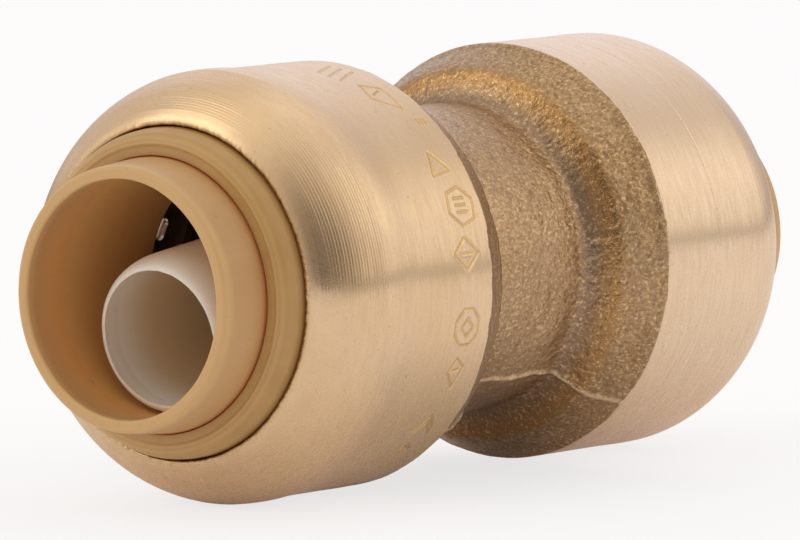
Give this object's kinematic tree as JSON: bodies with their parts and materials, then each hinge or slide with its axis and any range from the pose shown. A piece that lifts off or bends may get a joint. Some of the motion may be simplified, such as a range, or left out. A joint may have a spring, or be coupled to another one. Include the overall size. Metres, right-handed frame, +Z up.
{
  "type": "push to connect fitting",
  "caption": "Straight brass push-fit tube coupling with a release collar, grab ring, seal and loose tube liner at each end.",
  "frame": {"origin": "middle of the coupling, on the waterway axis", "axes": "+X along the waterway towards the far end, +Z up; each liner hangs down in its collar, towards -Z"},
  "size_m": [0.0512, 0.0234, 0.0234],
  "materials": {
    "brass": "satin turned barrels, as-forged waist",
    "tan_plastic": "moulded, soft sheen",
    "stainless_steel": "stamped sheet",
    "spacer_plastic": "moulded, dark",
    "seal_rubber": "smooth moulded rubber",
    "liner_plastic": "moulded, slightly translucent look"
  },
  "bodies": {
    "root": {"brass_body": "brass", "near_retainer_ring": "tan_plastic", "near_seal_spacer": "spacer_plastic", "near_o_ring": "seal_rubber", "far_retainer_ring": "tan_plastic", "far_seal_spacer": "spacer_plastic", "far_o_ring": "seal_rubber"},
    "near_grip": {"near_grab_ring": "stainless_steel"},
    "near_collar": {"near_release_collar": "tan_plastic"},
    "near_liner": {"near_tube_liner": "liner_plastic"},
    "far_grip": {"far_grab_ring": "stainless_steel"},
    "far_collar": {"far_release_collar": "tan_plastic"},
    "far_liner": {"far_tube_liner": "liner_plastic"}
  },
  "joints": [
    {"name": "near_grip_spin", "type": "hinge", "parent": "root", "child": "near_grip", "pos_m": [-0.01585, 0, 0], "axis": [1, 0, 0], "continuous": true},
    {"name": "near_collar_press", "type": "slide", "parent": "near_grip", "child": "near_collar", "axis": [1, 0, 0], "range_m": [0, 0.0018], "deforming": ["near_grab_ring"]},
    {"name": "near_liner_tilt", "type": "hinge", "parent": "root", "child": "near_liner", "pos_m": [-0.0027, 0, 0], "axis": [0, 1, 0], "range_deg": [0, 13.6]},
    {"name": "far_grip_spin", "type": "hinge", "parent": "root", "child": "far_grip", "pos_m": [0.01585, 0, 0], "axis": [1, 0, 0], "continuous": true},
    {"name": "far_collar_press", "type": "slide", "parent": "far_grip", "child": "far_collar", "axis": [-1, 0, 0], "range_m": [0, 0.0018], "deforming": ["far_grab_ring"]},
    {"name": "far_liner_tilt", "type": "hinge", "parent": "root", "child": "far_liner", "pos_m": [0.0027, 0, 0], "axis": [0, -1, 0], "range_deg": [0, 13.6]}
  ]
}
